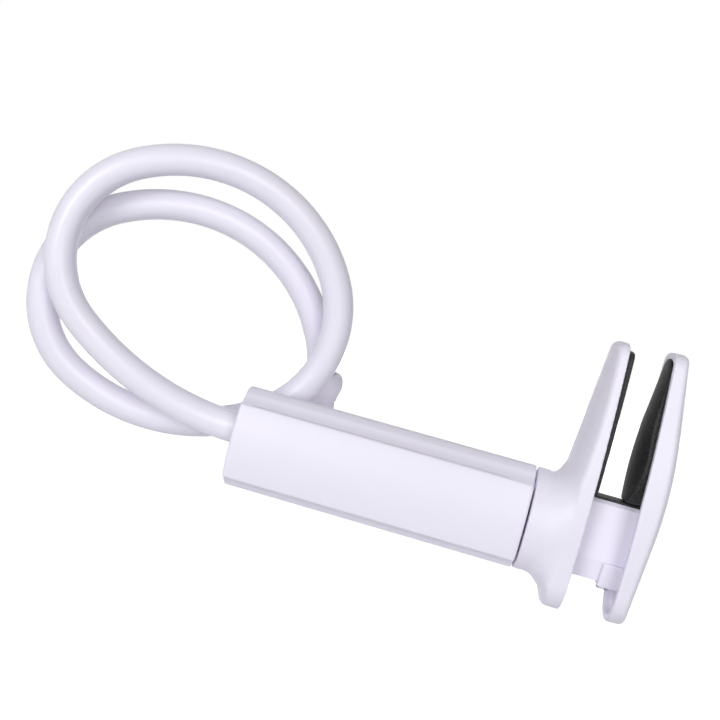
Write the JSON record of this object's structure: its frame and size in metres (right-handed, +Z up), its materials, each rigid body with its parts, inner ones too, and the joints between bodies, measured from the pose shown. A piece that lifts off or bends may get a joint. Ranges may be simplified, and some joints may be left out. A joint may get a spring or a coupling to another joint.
{
  "type": "guitar phone holder",
  "caption": "Phone holder with a straight handle, flared padded jaws that open along it against a spring, and a bendable gooseneck arm wound behind it.",
  "frame": {"origin": "middle of the fixed jaw pad's gripping face", "axes": "+X along the handle from the fixed jaw to the sliding jaw, +Y away from the front panel, +Z up along the jaws"},
  "size_m": [0.2198, 0.0596, 0.1143],
  "materials": {
    "shell_white": "glossy moulded white",
    "arm_white": "smooth glossy white skin",
    "pad_black": "soft matt black",
    "steel": "zinc plated",
    "arm_metal": "drawn"
  },
  "bodies": {
    "handle": {"handle_shell": "shell_white", "handle_cover": "shell_white", "fixed_jaw": "shell_white", "fixed_jaw_pad": "pad_black", "spring_anchor_pin": "steel", "cover_screws": "steel", "fixed_jaw_screws": "steel", "tension_spring": "steel", "arm_sleeve": "arm_white", "arm_core": "arm_metal", "arm_ferrule": "arm_metal", "ferrule_pin": "steel", "end_collar": "shell_white", "end_stud": "shell_white"},
    "slider": {"slider_bar": "shell_white", "slider_shoe": "shell_white", "slider_strip": "pad_black", "sliding_jaw": "shell_white", "sliding_jaw_pad": "pad_black", "slider_spring_pin": "steel", "shoe_pin": "steel", "sliding_jaw_screw": "steel"}
  },
  "joints": [
    {"name": "jaw_slide", "type": "slide", "parent": "handle", "child": "slider", "axis": [1, 0, 0], "range_m": [0, 0.062], "stiffness_N_per_m": 150, "springref_m": -0.04, "deforming": ["tension_spring"]}
  ]
}
